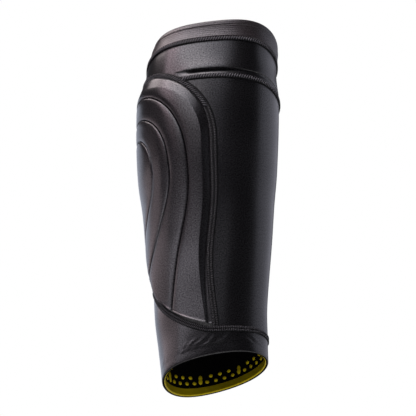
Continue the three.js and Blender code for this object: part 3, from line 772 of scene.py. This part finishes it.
# %% The node tree that sets beads along a path
def bead_row_tree():
    tree = bpy.data.node_groups.new("bead_row", "GeometryNodeTree")

    def socket(name, kind, side="INPUT"):
        tree.interface.new_socket(name, in_out=side, socket_type="NodeSocket" + kind)

    def made(output, kind, inputs=None, **settings):
        return add_node(tree, kind, inputs, **settings).outputs[output]

    socket("Path", "Geometry")
    for size in ("Pitch", "Length", "Width", "Height", "Slant", "Sway"):
        socket(size, "Float")
    socket("Seed", "Int")
    socket("Material", "Material")
    socket("Beads", "Geometry", "OUTPUT")
    given = add_node(tree, "NodeGroupInput").outputs
    curve = made("Curve", "GeometryNodeMeshToCurve", {"Mesh": given["Path"]})
    spots = made("Curve", "GeometryNodeResampleCurve", {
        "Curve": curve, "Length": given["Pitch"]}, mode="LENGTH")
    ball = made("Mesh", "GeometryNodeMeshUVSphere", {"Segments": 8, "Rings": 6, "Radius": 0.5})
    size = made("Vector", "ShaderNodeCombineXYZ", {
        "X": given["Length"], "Y": given["Width"], "Z": given["Height"]})
    bead = made("Geometry", "GeometryNodeTransform", {"Geometry": ball, "Scale": size})
    outward = made("Attribute", "GeometryNodeInputNamedAttribute", {
        "Name": "outward"}, data_type="FLOAT_VECTOR")
    upright = made("Rotation", "FunctionNodeAlignRotationToVector", {"Vector": outward}, axis="Z")
    tangent = made("Tangent", "GeometryNodeInputTangent")
    facing = made("Rotation", "FunctionNodeAlignRotationToVector", {
        "Rotation": upright, "Vector": tangent}, axis="X", pivot_axis="Z")
    least = made(0, "ShaderNodeMath", {0: given["Slant"], 1: given["Sway"]}, operation="SUBTRACT")
    most = made(0, "ShaderNodeMath", {0: given["Slant"], 1: given["Sway"]}, operation="ADD")
    lean = made(1, "FunctionNodeRandomValue", {
        2: least, 3: most, "Seed": given["Seed"]}, data_type="FLOAT")
    angles = made("Vector", "ShaderNodeCombineXYZ", {"Z": lean})
    spin = made("Rotation", "FunctionNodeEulerToRotation", {"Euler": angles})
    turned = made("Rotation", "FunctionNodeRotateRotation", {
        "Rotation": facing, "Rotate By": spin}, rotation_space="LOCAL")
    beads = made("Instances", "GeometryNodeInstanceOnPoints", {
        "Points": spots, "Instance": bead, "Rotation": turned})
    real = made("Geometry", "GeometryNodeRealizeInstances", {"Geometry": beads})
    smooth = made("Geometry", "GeometryNodeSetShadeSmooth", {"Geometry": real})
    dressed = made("Geometry", "GeometryNodeSetMaterial", {
        "Geometry": smooth, "Material": given["Material"]})
    add_node(tree, "NodeGroupOutput", {"Beads": dressed})
    return tree


bead_row = bead_row_tree()
bead_inputs = {
    item.name: item.identifier for item in bead_row.interface.items_tree if item.in_out == "INPUT"}
print("nodes in the bead tree:", len(bead_row.nodes))


def beads_along(name, paths, material, **sizes):
    """A piece with beads along paths, each a tuple of angles, heights and distance off the fabric."""
    points, outward, edges = [], [], []
    for turn, height, out in paths:
        here, beyond = skin(turn, height, out), skin(turn, height, out + MM)
        start = len(points)
        points += here.tolist()
        outward += ((beyond - here) / MM).tolist()
        edges += [(start + i, start + i + 1) for i in range(len(here) - 1)]
    mesh = new_mesh(name, points, edges, [])
    mesh.attributes.new("outward", "FLOAT_VECTOR", "POINT").data.foreach_set(
        "vector", np.array(outward, np.float32).ravel())
    path = add_piece(name + "_path", mesh)
    modifier = path.modifiers.new("beads", "NODES")
    modifier.node_group = bead_row
    for key, value in {**sizes, "Material": material}.items():
        modifier[bead_inputs[key]] = value
    depsgraph = bpy.context.evaluated_depsgraph_get()
    made = bpy.data.meshes.new_from_object(path.evaluated_get(depsgraph), depsgraph=depsgraph)
    bpy.data.objects.remove(path)
    print(name, "faces:", len(made.polygons))
    return add_piece(name, made)


# %% Stitches
ring = RING_TURNS[0]
OVERLOCK = {"Pitch": 2.3 * MM, "Width": 1.25 * MM, "Height": 1.2 * MM, "Slant": math.radians(60),
            "Sway": math.radians(6)}
LADDER = {"Pitch": 1.6 * MM, "Width": 0.9 * MM, "Height": 0.8 * MM, "Slant": math.radians(72),
          "Sway": math.radians(24)}
OVERLOCK_CREST, LADDER_CREST = 0.95 * MM, 0.7 * MM
CUFF_LADDERS = [-1.25 * MM, 1.25 * MM]
# Ladders beside the pad: share of the seam's width, and crest. A rope of overlock goes over the arch.
PAD_LADDERS, ROPE_FROM = [(0.26, LADDER_CREST), (0.7, 0.7 * LADDER_CREST)], 0.62
top_middle = tilted(ring, TOP_SEAM + (TOP_SEAM_LOW + TOP_SEAM_HIGH) / 2, TOP_TILT)
top_stitches = beads_along(
    "top_seam_stitches", [(ring, top_middle, OVERLOCK_CREST)], overlock_thread,
    Length=4.9 * MM, Seed=1, **OVERLOCK)
collar_start = line_turn(SEAM_OUTER, COLLAR_SEAM)
collar_walk = np.linspace(collar_start, 360 - collar_start, GIRTH_STEPS + 1)
collar_stitches = beads_along(
    "collar_seam_stitches", [(collar_walk, COLLAR_SEAM, OVERLOCK_CREST)], overlock_thread,
    Length=5.0 * MM, Seed=2, **OVERLOCK)
cuff_paths = [(ring, beside_cuff_seam(ring, aside), LADDER_CREST) for aside in CUFF_LADDERS]
cuff_stitches = beads_along(
    "cuff_seam_stitches", cuff_paths, ladder_thread, Length=2.3 * MM, Seed=3, **LADDER)


def pad_path(share, crest, kept):
    turn, height = along_line(lerp(SEAM_INNER, SEAM_OUTER, share), pad_along)
    return (turn * pad_side)[kept], height[kept], crest


# Beside the pad the stitches take the nearly black thread, and over the arch the darker one: both shades
# are painted shade
over_arch = pad_along > ROPE_FROM
sides = [(pad_along <= ROPE_FROM) & (pad_side == side) for side in (-1, 1)]
pad_stitches = beads_along(
    "pad_seam_stitches", [pad_path(share, crest, kept) for kept in sides for share, crest in PAD_LADDERS],
    shaded_pad_side_thread, Length=2.7 * MM, Seed=4, **LADDER)
arch_stitches = beads_along(
    "pad_arch_stitches", [pad_path(0.5, OVERLOCK_CREST, over_arch)], ladder_thread,
    Length=5.6 * MM, Seed=7, **OVERLOCK)

# %% [markdown]
# The grip. A yellow silicone band is printed inside the hem, with raised dots above it that hold the
# sleeve on the skin. The band is a thin ring wall inside the cuff; the dots are beads on paths that
# lie on the inner face, in two staggered rows with an upright bar at intervals, a plain pattern. Each
# bar is two long beads that overlap. Silicone this thick casts shadows, so it is modelled, not painted.

# %% Grip band and dots
GRIP_OUT, GRIP_THICK, GRIP_LOW, GRIP_HIGH = -FABRIC - 0.02 * MM, 0.9 * MM, 0.25 * MM, 7.5 * MM
# Cross-section of the grip band: share of its height, and of its thickness
GRIP_EDGE = np.array([
    [0, 0.1], [0.04, 0.75], [0.12, 1.15], [0.2, 0.85], [0.9, 0.8], [0.97, 0.6], [1, 0.1]])
grip_height = rim + lerp(GRIP_LOW, GRIP_HIGH, GRIP_EDGE[::-1, :1])
grip_sheet = sheet_of(-RING_TURNS, grip_height[::-1], GRIP_OUT - GRIP_EDGE[:, 1:] * GRIP_THICK)
grip_band = closed_wall("grip_ring", grip_sheet, GRIP_OUT, [grip_silicone], sharp=60)
print("size of the grip band in mm:", [round(x / MM, 1) for x in grip_band.dimensions])

# %% Raised dots and bars of the grip
GRIP_FACE, GRIP_PARTS = -FABRIC - 0.05 * MM, 8
DOT = {"Length": 3.6 * MM, "Width": 3.6 * MM, "Height": 1.8 * MM, "Slant": 0, "Sway": 0, "Seed": 5}
BAR = {**DOT, "Length": 6.4 * MM, "Seed": 6}
# Rows of dots: height over the rim, and the part of the way between two bars that they fill
DOT_ROWS = [(12 * MM, 0.17), (17.5 * MM, 0.27)]
BAR_LOW, BAR_HIGH = 13.2 * MM, 16.2 * MM
BAR_PITCH = 0.95 * (BAR_HIGH - BAR_LOW)  # a little under the bar's run, so that it gets two beads
DOT_STEPS = 12
part_turn = 360 / GRIP_PARTS
dot_paths, bar_paths = [], []
for number in range(GRIP_PARTS):
    bar_turn = np.full(2, (number + 0.5) * part_turn)
    bar_paths.append((bar_turn, hem_rim(bar_turn) + np.array([BAR_LOW, BAR_HIGH]), GRIP_FACE))
    for over, margin in DOT_ROWS:
        turns = bar_turn[0] + part_turn * np.linspace(margin, 1 - margin, DOT_STEPS)
        dot_paths.append((turns, hem_rim(turns) + over, GRIP_FACE))
grip_dots = beads_along("grip_dots", dot_paths, grip_silicone, Pitch=6.3 * MM, **DOT)
grip_bars = beads_along("grip_bars", bar_paths, grip_silicone, Pitch=BAR_PITCH, **BAR)

# %% [markdown]
# Joining the pieces to the part. Every piece rides on the part's only body and stands in for its CAD node,
# which is hidden;
# a table groups the pieces by material.

# %% Ride and replace
NODE_PIECES = {
    "top_band": top_band, "collar": collar, "calf_panel": calf_panel, "ankle_cuff": ankle_cuff,
    "shin_pad": shin_pad, "top_seam": top_seam, "collar_seam": collar_seam, "pad_seam": pad_seam,
    "cuff_seam": cuff_seam, "grip_band": grip_band}
SLOT_PIECES = {
    "elastic": [top_band], "knit": [collar, calf_panel, ankle_cuff], "pad": [shin_pad],
    "thread": [top_seam, collar_seam, pad_seam, cuff_seam, top_stitches, collar_stitches, cuff_stitches,
               pad_stitches, arch_stitches],
    "silicone": [grip_band, grip_dots, grip_bars]}
for node, piece in NODE_PIECES.items():
    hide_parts(node)
for slot, pieces in SLOT_PIECES.items():
    for piece in pieces:
        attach(piece, "root")
print("pieces on the part:", sum(len(pieces) for pieces in SLOT_PIECES.values()))

# %% [markdown]
# The flat cloth. Sleeves of this kind are cut about a tenth narrower than the leg and stretch as they
# are pulled on. Below, the girth is measured at a few seams and at the fold; the results are not kept
# or used.


widest = float(SEAM_OUTER[1])
side_turn = float(line_turn(seam_middle, widest))
girth_at(TOP_SEAM)
girth_at(TUCK_HEIGHT)
girth_at(CALF_HEAD, side_turn, 360 - side_turn)
girth_at(CUFF_BACK)

# %% [markdown]
# The studio. The photo looks up at the sleeve from its outer side, from far away, against white. Cloth
# this dark shows its form by what it reflects, so each bright or dark area of the photo asks for a
# soft box at the right angle, or for none: three keys and a strip high on the camera's side, a box
# over the shin, a wall to each side, and small cards close to the ankle, whose light fades quickly
# upwards. A picture of a studio all round could do the same, but boxes can be moved one by one. The
# floor lies well below, because the camera is low, and has a panel of light of its own.

# %% Camera
AIM = Vector((0, 0, 0.160))
AZIMUTH, ELEVATION, ROLL = math.radians(95.78), math.radians(-30.2), math.radians(-4.96)
DISTANCE, FAR_CLIP = 1.78367, 100
AIM_ACROSS, AIM_UP = -6.52 * MM, -2.06 * MM
LENS = 175.9


def direction(azimuth, elevation):
    """A direction from an angle round the leg, counted from the shin, and an angle over the horizon."""
    level = math.cos(elevation)
    return Vector((math.sin(azimuth) * level, -math.cos(azimuth) * level, math.sin(elevation)))


back = direction(AZIMUTH, ELEVATION)
right = Vector((math.cos(AZIMUTH), math.sin(AZIMUTH), 0))
up = back.cross(right)
view_x = math.cos(ROLL) * right + math.sin(ROLL) * up
view_y = math.cos(ROLL) * up - math.sin(ROLL) * right
camera = add_piece("camera", bpy.data.cameras.new("camera"))
camera.data.lens, camera.data.clip_end = LENS, FAR_CLIP
eye = AIM + back * DISTANCE + view_x * AIM_ACROSS + view_y * AIM_UP
camera.matrix_world = Matrix.Translation(eye) @ Matrix((view_x, view_y, back)).transposed().to_4x4()
scene.camera = camera
print("camera at:", [round(x, 3) for x in eye], "lens in mm:", LENS)


# %% Lights
def soft_box(name, turn, elevation, distance, size, glow, tint, inward=1):
    """A rectangular area light at an angle round the leg, facing the sleeve (1) or away from it (-1)."""
    light = bpy.data.lights.new(name, "AREA")
    light.shape, light.size, light.size_y = "RECTANGLE", *size
    light.energy, light.color = glow * math.pi * size[0] * size[1], colour(tint)[:3]
    lamp = add_piece(name, light)
    away = direction(math.radians(turn), math.radians(elevation))
    lamp.location = AIM + away * distance
    lamp.rotation_euler = (away * inward).to_track_quat("Z", "Y").to_euler()
    lamp.visible_camera = False
    return lamp


# Each has: angle round the leg, angle over the horizon, distance, size, brightness, tint
soft_box("key_left", 52, 48, 1.5, (0.5, 0.72), 4.4, "#ffe4f0")
soft_box("key_middle", 82, 48, 1.5, (0.57, 0.72), 4.7, "#fbf6ff")
soft_box("key_right", 108, 48, 1.5, (0.35, 0.72), 2.3, "#f0f0ff")
soft_box("overhead_strip", 78, 68, 1.5, (0.9, 0.36), 9.0, "#fff4f8")
soft_box("crown_box", 4, 62, 1.4, (0.7, 0.42), 5.6, "#fff0f2")
soft_box("shin_rim", -62, 25, 1.5, (1.6, 0.8), 1.2, "#e4ebff")
soft_box("shin_card", -3, 18, 0.63, (0.6, 0.15), 1.9, "#fde8f0")
soft_box("ankle_card", 60, -3, 0.27, (0.34, 0.08), 2.9, "#f8f2ff")
soft_box("calf_card", 114, -4, 0.27, (0.11, 0.10), 0.45, "#f4f4ff")
soft_box("calf_wall", 216, 15, 1.5, (2.0, 1.4), 0.75, "#eeeeff")
floor_bounce = soft_box("floor_bounce", 100, -70, 1.3, (1.2, 1.2), 1.2, "#ffffff")
floor_bounce.visible_glossy = False  # it lights the grip from below, without a streak on the hem
soft_box("floor_wash", 0, -90, 0.8, (40, 40), 0.9, "#ffffff", inward=-1)
print("soft boxes:", len(bpy.data.lights))

# %% Floor and background
FLOOR_HEIGHT, FLOOR_SIZE, FLOOR_SPECKLE = -1.4, 14, 1 / 3
SKY_SEEN, SKY_LIGHT = 1.0, 0.03
corners = [(x * FLOOR_SIZE / 2, y * FLOOR_SIZE / 2, FLOOR_HEIGHT)
           for x, y in [(-1, -1), (1, -1), (1, 1), (-1, 1)]]
floor = add_piece("floor", new_mesh("floor", corners, [], [(0, 1, 2, 3)]))
floor.visible_diffuse = False  # the cloth reflects the floor, but gets no stray light from it
# Pale matt paint, with a cloudiness that is just enough to look like a surface
floor_paint, tree = new_material("pale_floor_paint")
floor_place = add_node(tree, "ShaderNodeTexCoord").outputs["Object"]
speckle = add_noise(tree, floor_place, FLOOR_SPECKLE, Detail=2)
add_surface(tree, {"Base Color": add_shade(tree, speckle, "#e9e9ea", "#eeeeef"), "Roughness": 0.8})
floor.data.materials.append(floor_paint)
world = bpy.data.worlds.new("studio")
world.use_nodes = True
tree = world.node_tree
tree.nodes.clear()
seen = add_node(tree, "ShaderNodeLightPath").outputs["Is Camera Ray"]
bright = add_range(tree, seen, SKY_LIGHT, SKY_SEEN, 0, 1)
sky = add_node(tree, "ShaderNodeBackground", {"Color": colour("#ffffff"), "Strength": bright})
add_node(tree, "ShaderNodeOutputWorld", {"Surface": sky.outputs["Background"]})
scene.world = world
scene.view_settings.view_transform = "Standard"
